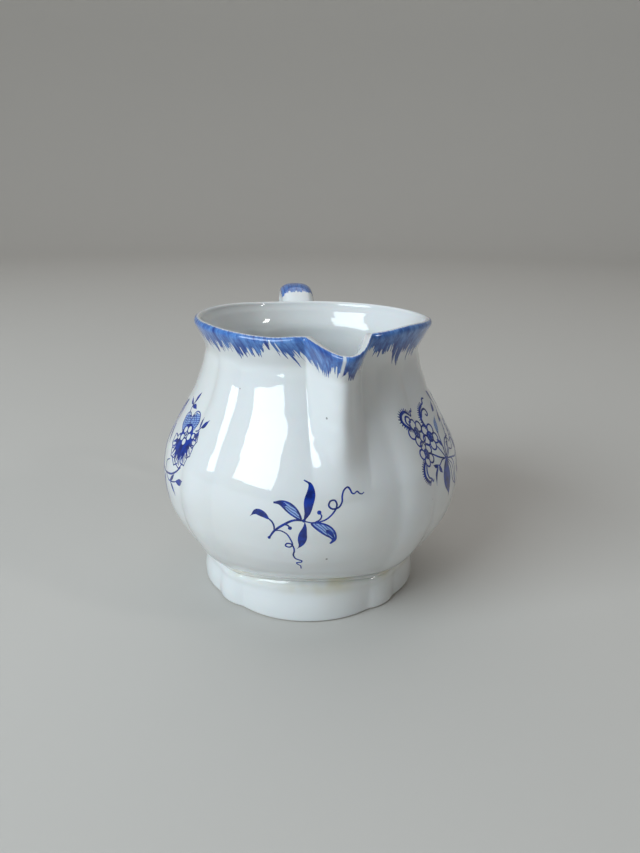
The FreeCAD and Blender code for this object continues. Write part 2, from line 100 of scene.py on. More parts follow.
# How deep the brushed border reaches under the crest round the jug: turn and depth.
BRUSH_REACH = [
    (-170, 8.5), (-140, 6.5), (-118, 9), (-98, 7), (-78, 9), (-56, 9.6), (-48, 8.8), (-38, 10), (-31, 8.6),
    (-26, 4.2), (-20, 8), (-15, 10.4), (-8, 11.2), (-3, 10.4), (1, 9.4), (6, 9.8), (13, 11.6), (19, 10.2),
    (25, 9), (30, 9.8), (38, 13.6), (52, 14), (68, 11.4), (92, 8.6), (115, 9.4), (142, 7),
]
# How far its strokes slant, as a share of their length, and where its thin gap is.
BRUSH_SLANT = [(-150, 0.3), (-60, 0.25), (-30, 0.32), (-6, 0.65), (3, 0), (14, -0.15), (36, 0.1), (90, -0.2)]
BRUSH_GAP_TURN = 3.1
# Distances that stand for "far under the border" and "inside the rim".
FAR_BELOW = 99.0
INSIDE = -9.0

# Where the printed motifs sit on the body: turn and height.
SPRIG_PLACE = (-8.8, 45.2)
LEFT_BOUQUET_PLACE = (-69.0, 61.3)
RIGHT_BOUQUET_PLACE = (57.1, 54.0)
PRINT_THICKNESS = 0.035
THINNEST_LINE = 0.1
# How far the kinds of printed shapes stand out of the surface, as shares of that thickness.
HATCHED_LEVEL, SOLID_LEVEL, WHITE_LEVEL = 0.8, 1.1, 1.4

# How far the rim's crest rises round the jug: turn and rise.
RIM_WAVE = [
    (-170, 0), (-125, 1.1), (-70, 1.1), (-25, 0), (-12, 0.7),
    (22, 1.2), (42, 2), (66, 1.2), (105, 0), (150, 0),
]


# ------------------------------------------------------------------------------------------ the jug's shape
def smooth(knots, x):
    """A smooth curve through the knots (x, y) that never overshoots between two of them."""
    xs = np.array([k[0] for k in knots], float)
    ys = np.array([k[1] for k in knots], float)
    x = np.clip(np.asarray(x, float), xs[0], xs[-1])
    widths = np.diff(xs)
    slopes = np.diff(ys) / widths
    product = slopes[:-1] * slopes[1:]
    total = slopes[:-1] + slopes[1:]
    inner = np.where(product > 0, 2 * product / np.where(total == 0, 1, total), 0.0)
    tangents = np.concatenate([slopes[:1], inner, slopes[-1:]])
    i = np.clip(np.searchsorted(xs, x, side="right") - 1, 0, len(widths) - 1)
    s = (x - xs[i]) / widths[i]
    rise = s * s * (3 - 2 * s)
    pull = widths[i] * s * (1 - s) * (tangents[i] * (1 - s) - tangents[i + 1] * s)
    return ys[i] + (ys[i + 1] - ys[i]) * rise + pull


def turn_between(turn, centre):
    """The angle from centre to turn, from -180 to 180 degrees."""
    return (np.asarray(turn, float) - centre + 180.0) % 360.0 - 180.0


def around_the_jug(knots, turn):
    """A smooth curve through knots of (turn, value) that closes on itself round the jug."""
    before = (knots[-1][0] - 360.0, knots[-1][1])
    after = (knots[0][0] + 360.0, knots[0][1])
    return smooth([before] + knots + [after], (turn_between(turn, 0.0) - before[0]) % 360.0 + before[0])


def soft_bump(share):
    """1 - share, rounded where it reaches nothing, so that two bumps meet in a soft groove."""
    level = np.hypot(1.0 - share, GROOVE_SOFTNESS) - GROOVE_SOFTNESS
    return level / (math.hypot(1.0, GROOVE_SOFTNESS) - GROOVE_SOFTNESS)


def off_panel_middle(turn):
    """The angle from this turn to the middle of the nearest wide lobe."""
    step = 360.0 / LOBES
    return np.abs((np.asarray(turn, float) - LOBE_TURN + step / 2) % step - step / 2)


def lobe(turn):
    """How far the lobed outline stands out past its grooves at this turn."""
    off = off_panel_middle(turn)
    panel = PANEL_BULGE * soft_bump((np.minimum(off, PANEL_HALF_ANGLE) / PANEL_HALF_ANGLE) ** PANEL_POWER)
    rib_share = np.minimum((180.0 / LOBES - off) / (RIB_ANGLE / 2), 1.0)
    return np.where(off <= PANEL_HALF_ANGLE, panel, RIB_BULGE * soft_bump(rib_share ** RIB_POWER))


def panel_middle(turn):
    """1 at the middle of a wide lobe and 0 at its grooves and on a narrow lobe."""
    return 1.0 - np.minimum(off_panel_middle(turn) / PANEL_HALF_ANGLE, 1.0) ** 2


def lobe_share(height):
    """The share of the lobes' relief that the vessel has at this height."""
    return smooth([(SEAT_HEIGHT, 0.9), (HIP_HEIGHT, 1.0), (SHOULDER_HEIGHT + 8, 1.0), (NECK_HEIGHT - 2, 0.8),
                   (NECK_HEIGHT + 3, 0.12), (RIM_HEIGHT - 1, 0.0)], height)


def seat_lift(turn, height):
    """How far the arched seat lifts the vessel's lowest stretch at this turn."""
    return SEAT_ARCH * panel_middle(turn) * smooth([(SEAT_HEIGHT, 1.0), (SEAT_HEIGHT + 16, 0.0)], height)


def spout_rise(height):
    """0 where the lip's keel runs out on the belly, and 1 at the rim."""
    return (height - SPOUT_FOOT_HEIGHT) / (RIM_HEIGHT - SPOUT_FOOT_HEIGHT)


def spout_share(turn, height, narrowing):
    """1 on the lip's keel and 0 at its sides, with a rounded keel and sides that blend into the rim."""
    keel = smooth([(SPOUT_FOOT_HEIGHT + 24, 0.34), (RIM_HEIGHT, 0.5)], height)
    half_angle = SPOUT_HALF_ANGLE * (0.66 + 0.34 * np.maximum(0.0, spout_rise(height))) - narrowing
    share = np.minimum(np.abs(turn_between(turn, SPOUT_TURN)) / half_angle, 1.0)
    level = (np.hypot(1.0, keel) - np.hypot(share, keel)) / (np.hypot(1.0, keel) - keel)
    return np.maximum(level, 0.0) ** 1.25


def spout_reach(height):
    """How far the lip's keel stands out past the vessel at this height."""
    knots = [(0.0, 0.0), (0.19, 0.18), (0.35, 0.47), (0.52, 0.73), (0.67, 0.9), (0.8, 0.94), (1.0, 1.0)]
    return SPOUT_REACH * smooth(knots, spout_rise(height))


def lean(height):
    """How far the vessel has leaned towards +X at this height."""
    return RIM_LEAN * smooth([(SEAT_HEIGHT, 0.5), (NECK_HEIGHT - 6, 0.55), (RIM_HEIGHT, 1.0)], height)


def vessel_profile(height):
    """The vessel's outside radius in its grooves."""
    return smooth([
        (SEAT_HEIGHT, SEAT_RADIUS),
        (SEAT_HEIGHT + 4, SEAT_RADIUS + 5.9),
        (HIP_HEIGHT, HIP_RADIUS),
        (BELLY_HEIGHT - 8, BELLY_RADIUS - 1.0),
        (BELLY_HEIGHT, BELLY_RADIUS),
        (BELLY_HEIGHT + 8, BELLY_RADIUS - 1.0),
        (SHOULDER_HEIGHT, SHOULDER_RADIUS),
        (SHOULDER_HEIGHT + 8, SHOULDER_RADIUS - 4.2),
        (NECK_HEIGHT, NECK_RADIUS),
        (NECK_HEIGHT + 6.5, NECK_RADIUS + 2.6),
        (RIM_HEIGHT - 1.9, RIM_RADIUS - 0.14),
        (RIM_HEIGHT, RIM_RADIUS + 0.9),
    ], height)


def around(turn, radius, height):
    """Points at these turns, distances from the axis and heights, as an array of x, y, z."""
    angle = np.radians(turn)
    return np.stack(np.broadcast_arrays(radius * np.sin(angle), -radius * np.cos(angle), height), axis=-1)


def vessel_skin(turn, radius, height, inside=False):
    """Points of the vessel's skin: a plain radius, with the lobes, the lip, the lean and the rim's wave."""
    keel = spout_share(turn, height, SPOUT_INNER_NARROWING if inside else 0.0)
    out = radius + lobe(turn) * lobe_share(height) + spout_reach(height) * keel
    lift = smooth([(NECK_HEIGHT - 8, 0.0), (RIM_HEIGHT, 1.0)], height)
    level = height + lift * (around_the_jug(RIM_WAVE, turn) * (1 - keel) - SPOUT_DIP * keel)
    if not inside:
        level = level + seat_lift(turn, height)
    points = around(turn, out, level)
    points[..., 0] += lean(height)
    return points


def outside_point(turn, height):
    """A point of the vessel's outside, by its turn and its height before the rim's wave."""
    return vessel_skin(turn, vessel_profile(height), height)


# ------------------------------------------------------------------------------------------- mesh building
def metres(points):
    """The points in metres, as a flat list of tuples."""
    return [tuple(p) for p in (np.asarray(points).reshape(-1, 3) * MM).tolist()]


def add_to_scene(name, data):
    """A new object in the scene, holding this mesh, light or camera."""
    added = bpy.data.objects.new(name, data)
    bpy.context.collection.objects.link(added)
    return added


def face_outwards(mesh):
    """Turns every face of a closed mesh to its outside."""
    shell = bmesh.new()
    shell.from_mesh(mesh)
    bmesh.ops.recalc_face_normals(shell, faces=shell.faces)
    shell.to_mesh(mesh)
    shell.free()


def grid_mesh(name, rings, caps=()):
    """A mesh from rings of points, each ring closed. caps names the ends, "first" or "last", to fill."""
    rings = np.asarray(rings)
    rows, columns = rings.shape[:2]
    faces = []
    for row in range(rows - 1):
        base, above = row * columns, (row + 1) * columns
        for column in range(columns):
            following = (column + 1) % columns
            faces.append((base + column, base + following, above + following, above + column))
    points = metres(rings)
    for cap in caps:
        row = 0 if cap == "first" else rows - 1
        centre = len(points)
        points.append(tuple((rings[row].mean(axis=0) * MM).tolist()))
        for column in range(columns):
            here, there = row * columns + column, row * columns + (column + 1) % columns
            faces.append((there, here, centre) if cap == "first" else (here, there, centre))
    mesh = bpy.data.meshes.new(name)
    mesh.from_pydata(points, [], faces)
    mesh.validate()
    face_outwards(mesh)
    mesh.shade_smooth()
    return add_to_scene(name, mesh)


def between(start, end, slope_start, slope_end, s):
    """The point at share s of a curve that has these ends and slopes."""
    return ((2 * s ** 3 - 3 * s ** 2 + 1) * start + (s ** 3 - 2 * s ** 2 + s) * slope_start
            + (3 * s ** 2 - 2 * s ** 3) * end + (s ** 3 - s ** 2) * slope_end)


def refined(rings, times):
    """The rings with smooth ones put between them."""
    rings = np.asarray(rings)
    places = np.arange(len(rings), dtype=float)
    wanted = np.linspace(0, len(rings) - 1, (len(rings) - 1) * times + 1)
    before = np.clip(np.searchsorted(places, wanted, side="right") - 1, 0, len(rings) - 2)
    s = (wanted - before)[:, None, None]
    slopes = np.empty_like(rings)
    slopes[1:-1] = (rings[2:] - rings[:-2]) / 2
    slopes[0], slopes[-1] = rings[1] - rings[0], rings[-1] - rings[-2]
    return between(rings[before], rings[before + 1], slopes[before], slopes[before + 1], s)


def weld(piece):
    """Joins points of the piece's mesh that lie in one place."""
    shell = bmesh.new()
    shell.from_mesh(piece.data)
    bmesh.ops.remove_doubles(shell, verts=shell.verts, dist=1e-7)
    shell.to_mesh(piece.data)
    shell.free()
    face_outwards(piece.data)
    piece.data.shade_smooth()


def ring_turns():
    """The turns of a ring's points, closer together at the lip's keel."""
    fine_half, fine, coarse = 20.0, 0.5, 1.25
    near = np.arange(-fine_half, fine_half, fine)
    count = round((360.0 - 2 * fine_half) / coarse)
    far = np.linspace(fine_half, 360.0 - fine_half, count, endpoint=False)
    return SPOUT_TURN + np.concatenate([near, far])


def outside_heights():
    """The heights of the vessel's outside rings, from the seat to where the rim's rounding starts."""
    return np.concatenate([
        np.linspace(SEAT_HEIGHT, SEAT_HEIGHT + 8, 22, endpoint=False),
        np.linspace(SEAT_HEIGHT + 8, RIM_HEIGHT - 1.95, 118),
    ])


def inside_rings(turns):
    """The vessel's inside, a wall's thickness from the outside, from under the rim down to the floor."""
    rings = []
    step = 0.05
    for height in np.linspace(RIM_HEIGHT - 4, SEAT_HEIGHT + 11, 70):
        slope = (vessel_profile(height + step) - vessel_profile(height - step)) / (2 * step)
        length = math.hypot(1.0, slope)
        radius = vessel_profile(height) - WALL / length
        rings.append(vessel_skin(turns, radius, height + WALL * slope / length, inside=True))
    return rings


def rim_rings(turns):
    """The rounded rim, from its outside over the crest to its inside."""
    half = LIP_THICKNESS / 2
    rings = []
    for back in range(-15, 181, 15):
        radius = RIM_RADIUS - half + half * math.cos(math.radians(back))
        height = RIM_HEIGHT - half + half * math.sin(math.radians(back))
        rings.append(vessel_skin(turns, radius, height, inside=back > 90))
    return rings


def keep_values(mesh, name, values):
    """Keeps a number, or a vector, for each of the mesh's points."""
    values = np.asarray(values, float)
    kind, field = ("FLOAT_VECTOR", "vector") if values.ndim == 2 else ("FLOAT", "value")
    mesh.attributes.new(name, kind, "POINT").data.foreach_set(field, values.ravel())


def store_rim_distance(mesh, turns, rings, crest_row, last_outside_row):
    """Keeps what the brushed border needs: each point's distance below the crest and its place on the brush.

    The mesh's last two points are the middles of the underside and of the inner floor.
    """
    rings = np.asarray(rings)
    below = np.full(rings.shape[:2], INSIDE)
    steps = np.linalg.norm(np.diff(rings[last_outside_row:crest_row + 1], axis=0), axis=2)
    below[last_outside_row:crest_row] = np.cumsum(steps[::-1], axis=0)[::-1]
    below[crest_row] = 0.0
    after = np.linalg.norm(np.diff(rings[crest_row:crest_row + 9], axis=0), axis=2)
    below[crest_row + 1:crest_row + 9] = -np.cumsum(after, axis=0)
    below[:last_outside_row] = FAR_BELOW
    slant = around_the_jug(BRUSH_SLANT, turns)
    brushed_turn = turns - np.degrees(slant * np.clip(below, 0, 12) / RIM_RADIUS)
    brush = around(brushed_turn, RIM_RADIUS, below)
    reach = np.broadcast_to(around_the_jug(BRUSH_REACH, turns), below.shape)
    off_gap = np.radians(np.abs(turn_between(turns, BRUSH_GAP_TURN))) * RIM_RADIUS
    off_gap = np.broadcast_to(off_gap, below.shape)
    keep_values(mesh, "brush", np.concatenate([brush.reshape(-1, 3), [[FAR_BELOW] * 3, [INSIDE] * 3]]))
    for name, values in (("brush_reach", reach), ("brush_gap", off_gap)):
        keep_values(mesh, name, np.concatenate([values.reshape(-1), [0.0, 0.0]]))


def make_vessel():
    """The vessel: one skin from the underside, up the outside, over the rim and down to the inner floor."""
    turns = ring_turns()
    seat = vessel_skin(turns, SEAT_RADIUS, SEAT_HEIGHT)
    middle = np.array([lean(SEAT_HEIGHT), 0, SEAT_HEIGHT])
    rings = [middle + (seat - middle) * [share, share, 0.0] for share in (0.84, 0.92)]
    rings += [outside_point(turns, height) for height in outside_heights()]
    last_outside_row = len(rings) - 40
    rings += rim_rings(turns)
    crest_row = len(rings) - 7
    rings += inside_rings(turns)
    floor = SEAT_HEIGHT + BASE_THICKNESS
    for share, rise in ((1.03, 2.0), (0.98, 1.0), (0.92, 0.45), (0.84, 0.15), (0.7, 0.0), (0.4, 0.0)):
        rings.append(around(turns, SEAT_RADIUS * share, floor + rise))
    piece = grid_mesh("vessel_glazed", rings, caps=("first", "last"))
    store_rim_distance(piece.data, turns, rings, crest_row, last_outside_row)
    return piece


def make_foot():
    """The foot ring: lobed, with an arched and rolled top, a rounded resting edge and a round bore."""
    turns = ring_turns()
    side = FOOT_RADIUS - PANEL_BULGE
    outside = [(1.3, 0.0, 1.0), (0.45, 0.25, 1.0), (0.1, 0.8, 1.0), (0.0, 1.8, 1.0), (0.0, 3.4, 1.0),
               (0.05, 5.2, 0.9), (0.2, 7.2, 0.72), (0.35, 9.0, 0.6), (0.25, 10.4, 0.55), (0.45, 11.4, 0.55),
               (1.1, 12.3, 0.55), (2.2, 12.8, 0.55), (3.8, 12.9, 0.55)]
    bore = [(FOOT_BORE_TOP_RADIUS, SEAT_HEIGHT), (FOOT_BORE_TOP_RADIUS + 0.4, 9.0),
            (FOOT_BORE_RADIUS - 0.6, 4.0), (FOOT_BORE_RADIUS, 1.2), (FOOT_BORE_RADIUS + 0.3, 0.4),
            (FOOT_BORE_RADIUS + 0.9, 0.0)]
    sections = [(side - inset, height, share) for inset, height, share in outside]
    sections += [(radius, height, 0.0) for radius, height in bore]
    rings = []
    for radius, height, share in sections:
        arch = SEAT_ARCH * panel_middle(turns) * (height / SEAT_HEIGHT) ** 2 if share else 0.0
        ring = around(turns, radius + share * FOOT_LOBES * lobe(turns), height + arch)
        ring[..., 0] += lean(SEAT_HEIGHT) * smooth([(4.0, 0.0), (SEAT_HEIGHT, 1.0)], height)
        rings.append(ring)
    rings.append(rings[0])
    piece = grid_mesh("foot_ring_glazed", refined(rings, 4))
    weld(piece)
    return piece


def make_foot_bead():
    """The soft roll of slip and pooled glaze in the corner over the foot ring."""
    turns = ring_turns()
    rings = []
    for step in range(13):
        angle = 2 * math.pi * step / 12
        radius = FOOT_RADIUS - PANEL_BULGE - 1.3 + BEAD_RADIUS * math.cos(angle)
        height = SEAT_HEIGHT + 0.3 + BEAD_RADIUS * math.sin(angle)
        ring = around(turns, radius + BEAD_LOBES * lobe(turns), height + SEAT_ARCH * panel_middle(turns))
        ring[..., 0] += lean(SEAT_HEIGHT)
        rings.append(ring)
    piece = grid_mesh("foot_slip_bead", rings)
    weld(piece)
    return piece


# ------------------------------------------------------------------------------------------------- handle
def handle_line(count):
    """The handle's middle line in the YZ plane from its upper end: points, directions and lengths."""
    half = STRAP_THICKNESS / 2
    top = (HANDLE_REACH - half - HANDLE_BEND, HANDLE_TOP - half)
    back = (top[0] + HANDLE_BEND, top[1] - HANDLE_BEND)
    run, rise = top[0] - HANDLE_ROOT[0], top[1] - HANDLE_ROOT[1]
    rising = (run ** 2 + rise ** 2) / (2 * rise)
    pull, fall = back[0] - HANDLE_TAIL[0], back[1] - HANDLE_TAIL[1]
    falling = (pull ** 2 + fall ** 2) / (2 * pull)
    arcs = [
        ((top[0], top[1] - rising), rising, math.pi - math.atan2(rising - rise, run), math.pi / 2),
        ((top[0], back[1]), HANDLE_BEND, math.pi / 2, 0.0),
        ((back[0] - falling, back[1]), falling, 0.0, -math.asin(fall / falling)),
    ]
    points = []
    for (y, z), radius, start, end in arcs:
        for angle in np.linspace(start, end, count):
            points.append((y + radius * math.cos(angle), z + radius * math.sin(angle)))
    points = np.array(points)
    keep = np.concatenate([[True], np.linalg.norm(np.diff(points, axis=0), axis=1) > 1e-6])
    points = points[keep]
    along = np.gradient(points, axis=0)
    along /= np.linalg.norm(along, axis=1, keepdims=True)
    return points, along, np.concatenate([[0], np.cumsum(np.linalg.norm(np.diff(points, axis=0), axis=1))])


def strap_rings(points, along, half_widths, half_thicknesses):
    """Rings of a strap's section along the handle: a rounded rectangle, flatter on its inner side."""
    rings = []
    for (y, z), (dy, dz), width, thickness in zip(points, along, half_widths, half_thicknesses):
        angles = np.linspace(0, 2 * math.pi, 48, endpoint=False)
        side = np.sign(np.cos(angles)) * np.abs(np.cos(angles)) ** 0.8 * width
        out = np.sign(np.sin(angles)) * np.abs(np.sin(angles)) ** 0.9 * thickness
        rings.append(np.stack([side, y - dz * out, z + dy * out], axis=-1))
    return rings


def kept_in_wall(rings):
    """The rings, with what would lie deeper than the middle of the vessel's wall pulled out to there."""
    rings = np.array(rings)
    turns = np.degrees(np.arctan2(rings[..., 0], -rings[..., 1]))
    skin = outside_point(turns, np.clip(rings[..., 2], SEAT_HEIGHT, RIM_HEIGHT))
    deepest = np.hypot(skin[..., 0], skin[..., 1]) - WALL / 2
    distance = np.hypot(rings[..., 0], rings[..., 1])
    pull = np.where(distance < deepest, deepest / distance, 1.0)
    rings[..., :2] *= pull[..., None]
    return rings


def strap_sizes(share):
    """The strap's half width and half thickness at this share of its length."""
    knots = [(0.0, 7.2), (0.1, 6.6), (0.3, STRAP_WIDTH / 2), (0.6, 6.1), (0.9, 6.2), (1.0, 6.8)]
    widths = smooth(knots, share)
    thicknesses = smooth([(0.0, 4.3), (0.12, 3.75), (0.3, STRAP_THICKNESS / 2), (0.6, 3.5), (0.92, 3.6),
                          (1.0, 4.2)], share)
    return widths, thicknesses


def make_handle():
    """The handle's strap, thicker towards its joints, with its ends inside the vessel's wall."""
    points, along, lengths = handle_line(28)
    widths, thicknesses = strap_sizes(lengths / lengths[-1])
    inner = slice(2, -2)
    lengths = lengths[inner]
    rings = kept_in_wall(strap_rings(points[inner], along[inner], widths[inner], thicknesses[inner]))
    piece = grid_mesh("handle_strap", rings, caps=("first", "last"))
    keep_values(piece.data, "along", np.concatenate([np.repeat(lengths, len(rings[0])), lengths[[0, -1]]]))
    outward = np.tile(np.sin(np.linspace(0, 2 * math.pi, rings.shape[1], endpoint=False)), len(rings))
    keep_values(piece.data, "outward", np.concatenate([outward, [0.0, 0.0]]))
    return piece


def make_luting(name, first, last):
    """The slip round a joint of the handle: thick at the vessel's wall, and thinning along the strap.

    first and last are shares of the handle's length, at the wall and at the slip's thin edge.
    """
    points, along, lengths = handle_line(120)
    share = lengths / lengths[-1]
    low, high = min(first, last), max(first, last)
    chosen = (share >= low) & (share <= high)
    thinning = (share[chosen] - first) / (last - first)
    widths, thicknesses = strap_sizes(share[chosen])
    spread = 2.1 * (1 - thinning) ** 2.2 - 0.12 * thinning
    rings = strap_rings(points[chosen], along[chosen], widths + spread, thicknesses + spread)
    return grid_mesh(name, kept_in_wall(rings), caps=("first", "last"))


# ------------------------------------------------------------------------------------------ printed motifs
def curve(points, spacing=0.35):
    """A smooth line through the points, as evenly spaced points."""
    points = np.asarray(points, float)
    knots = np.concatenate([[0], np.cumsum(np.linalg.norm(np.diff(points, axis=0), axis=1))])
    slopes = np.empty_like(points)
    slopes[1:-1] = (points[2:] - points[:-2]) / (knots[2:] - knots[:-2])[:, None]
    slopes[0] = (points[1] - points[0]) / knots[1]
    slopes[-1] = (points[-1] - points[-2]) / (knots[-1] - knots[-2])
    wanted = np.linspace(0, knots[-1], max(4, int(knots[-1] / spacing) + 1))
    i = np.clip(np.searchsorted(knots, wanted, side="right") - 1, 0, len(knots) - 2)
    width = (knots[i + 1] - knots[i])[:, None]
    s = (wanted - knots[i])[:, None] / width
    return between(points[i], points[i + 1], width * slopes[i], width * slopes[i + 1], s)


def blade_half_widths(count, width, fullest):
    """The half widths of a leaf that is widest at this share of its length and thins out into a long tip."""
    even = np.linspace(0, 1, count)
    share = even ** (math.log(0.5) / math.log(fullest))
    return width / 2 * np.sin(math.pi * share) ** (0.8 + 0.9 * even)


def to_the_right(along):
    """Unit directions to the right of these flat directions."""
    right = np.stack([along[:, 1], -along[:, 0]], axis=-1)
    return right / np.linalg.norm(right, axis=1, keepdims=True)


class Print:
    """Thin printed shapes that follow the vessel, drawn in mm to the right and mm up from their place."""

    def __init__(self, place, level=1.0):
        self.turn, self.height = place
        self.level = level
        self.points = []
        self.faces = []

    def laid(self, flat, out):
        """The flat points laid on the vessel, this far out of its surface."""
        heights = np.clip(self.height + flat[..., 1], SEAT_HEIGHT + 1, RIM_HEIGHT - 1)
        turns = self.turn + np.degrees(flat[..., 0] / vessel_profile(heights))
        here = outside_point(turns, heights)
        along = outside_point(turns + 0.1, heights) - here
        up = outside_point(turns, heights + 0.1) - here
        normal = np.cross(along, up)
        return here + out * normal / np.linalg.norm(normal, axis=-1, keepdims=True)

    def ribbon(self, rows, closed=False):
        """One closed thin solid over a grid of flat points. closed joins its last row to its first."""
        rows = np.asarray(rows)
        count, width = rows.shape[:2]
        first = len(self.points)
        top = self.laid(rows, PRINT_THICKNESS * self.level)
        bottom = self.laid(rows, -PRINT_THICKNESS)
        self.points += np.concatenate([top.reshape(-1, 3), bottom.reshape(-1, 3)]).tolist()
        under = count * width

        def at(row, column):
            return first + (row % count) * width + column

        for row in range(count if closed else count - 1):
            for column in range(width - 1):
                face = (at(row, column), at(row, column + 1), at(row + 1, column + 1), at(row + 1, column))
                self.faces.append(face)
                self.faces.append(tuple(point + under for point in reversed(face)))
            for column, ends in ((0, (0, 1)), (width - 1, (1, 0))):
                a, b = at(row + ends[0], column), at(row + ends[1], column)
                self.faces.append((a, b, b + under, a + under))
        if not closed:
            for row, columns in ((0, range(width - 1, 0, -1)), (count - 1, range(width - 1))):
                step = -1 if row == 0 else 1
                for column in columns:
                    a, b = at(row, column), at(row, column + step)
                    self.faces.append((a, b, b + under, a + under))

    def band(self, line, half_widths, columns=2, closed=False):
        """A ribbon along a flat line, with its half width at each of the line's points."""
        along = np.gradient(line, axis=0)
        if closed:
            along = np.roll(line, -1, axis=0) - np.roll(line, 1, axis=0)
        offsets = np.maximum(half_widths, THINNEST_LINE / 2)[:, None] * np.linspace(-1, 1, columns)
        self.ribbon(line[:, None] + to_the_right(along)[:, None] * offsets[..., None], closed)

    def stroke(self, points, width=0.6):
        """A drawn line with slightly thinner ends."""
        line = curve(points)
        share = np.linspace(0, 1, len(line))
        self.band(line, width / 2 * (0.55 + 0.45 * np.sin(math.pi * share) ** 0.5))

    def blade(self, points, width, fullest=0.45):
        """A pointed leaf along a line, widest at this share of its length."""
        line = curve(points)
        self.band(line, blade_half_widths(len(line), width, fullest), columns=7)

    def outlined_blade(self, points, width, fullest=0.45, line_width=0.4):
        """The outline of a pointed leaf."""
        line = curve(points)
        edge = to_the_right(np.gradient(line, axis=0)) * blade_half_widths(len(line), width, fullest)[:, None]
        for side in (-1, 1):
            self.band(line + side * edge, np.full(len(line), line_width / 2))

    def dot(self, centre, radius, squash=1.0):
        """A filled round dot."""
        share = np.linspace(-0.995, 0.995, 15)
        line = np.stack([np.full(15, centre[0]), centre[1] + radius * squash * share], axis=-1)
        self.band(line, radius * np.sqrt(1 - share ** 2), columns=7)

    def ring(self, centre, radius, width=0.42, squash=1.0):
        """A drawn circle."""
        angles = np.linspace(0, 2 * math.pi, 32, endpoint=False)
        line = np.array(centre) + radius * np.stack([np.cos(angles), squash * np.sin(angles)], axis=-1)
        self.band(line, np.full(32, width / 2), closed=True)

    def comb(self, points, length, pitch=0.62, side=1):
        """Short hairs along one side of a line."""
        line = curve(points, pitch)
        for here, out in zip(line, side * length * to_the_right(np.gradient(line, axis=0))):
            self.stroke([here, here + out * 0.5, here + out], 0.34)

    def piece(self, name, material):
        """The shapes as one named piece that stands on the vessel."""
        mesh = bpy.data.meshes.new(name)
        mesh.from_pydata(metres(self.points), [], self.faces)
        face_outwards(mesh)
        mesh.shade_smooth()
        mesh.set_sharp_from_angle(angle=math.radians(35))
        finish_piece(add_to_scene(name, mesh), material, "body_glaze", "vessel")


def turned(point, centre, tilt):
    """A point given about a centre, tilted anticlockwise about it."""
    angle = math.radians(tilt)
    x, y = point
    return (centre[0] + x * math.cos(angle) - y * math.sin(angle),
            centre[1] + x * math.sin(angle) + y * math.cos(angle))


def draw_front_sprig(solid, hatched):
    """The small trailing sprig on the front panel."""
    stroke, blade, dot = solid.stroke, solid.blade, solid.dot
    stroke([(-10.4, -6.8), (-8.4, -3.7), (-4.6, -0.8), (-2.4, 0.1), (0, 0)], 0.75)
    dot((-10.3, -6.6), 0.5)
    dot((0.2, 0), 0.55)
    stroke([(-0.2, 0), (2.4, -0.6), (4.7, -0.4), (7, 0.5), (9.1, 2.6), (9.9, 4.6), (9.2, 6.2), (7.9, 6),
            (7.5, 4.5), (8.7, 3.5), (10.6, 4), (11.4, 5.6), (11.3, 7.5), (11.7, 9.3), (12.7, 10.1),
            (13.6, 9.2), (14.2, 8.1), (15, 7.8), (15.8, 8.4), (16.7, 7.6), (17.5, 7.3), (18.2, 7.7)], 0.55)
    blade([(0.2, 0), (1.2, 2.4), (1.6, 5.6), (2.2, 8.6), (1.8, 10.9), (0, 12)], 3, 0.5)
    stroke([(0.2, 0), (0.9, 1.4), (1.3, 3)], 0.8)
    stroke([(2.2, 8.6), (1.9, 10.8), (0, 12)], 0.5)
    blade([(0.5, -0.3), (0.5, -2.2), (0, -4.4), (-0.3, -6.6), (-0.8, -8.6), (-1.8, -10)], 2.7, 0.56)
    blade([(-10.2, -0.3), (-12.2, 1.1), (-14.4, 1.5), (-16.4, -0.2)], 2.1)
    stroke([(-8.7, -3.8), (-8.7, -2.4), (-9.4, -0.9), (-10.6, 0.1)], 0.55)
    stroke([(3.4, -0.5), (5, 0.4), (5.4, 1.6), (4.7, 2.5)], 0.45)
    dot((4.7, 2.6), 0.65)
    stroke([(-6, -1.6), (-4.7, -1.6), (-3.9, -2.4)], 0.5)
    dot((-3.9, -2.6), 0.6)
    stroke([(-8.8, -3.9), (-6.8, -3.7), (-4.9, -4.7), (-3.7, -6.7), (-3.2, -8.6), (-4.1, -9.5), (-5.3, -9.1),
            (-4.9, -8.2), (-3.6, -8.3), (-2.8, -9.7), (-2.7, -11), (-3, -12.6), (-2.2, -14.1), (-0.5, -14.9),
            (-0.6, -15.5), (-2.1, -15.9), (-1.6, -16.8), (-0.9, -17.6), (-0.8, -19.4)], 0.5)
    for points, width in (([(-0.6, 0.3), (-2.8, 2.7), (-4.9, 4.4), (-6.8, 5.2), (-8.9, 5.1)], 2.5),
                          ([(2.4, -0.8), (4.6, -1.8), (6.8, -3.1), (8.6, -4.9), (9.2, -6.7), (8, -8.1)], 3)):
        hatched.blade(points, width)
        solid.outlined_blade(points, width, line_width=0.55)
        stroke(points[-3:], 0.6)
        blade(points[2:], width * 0.4, 0.2)


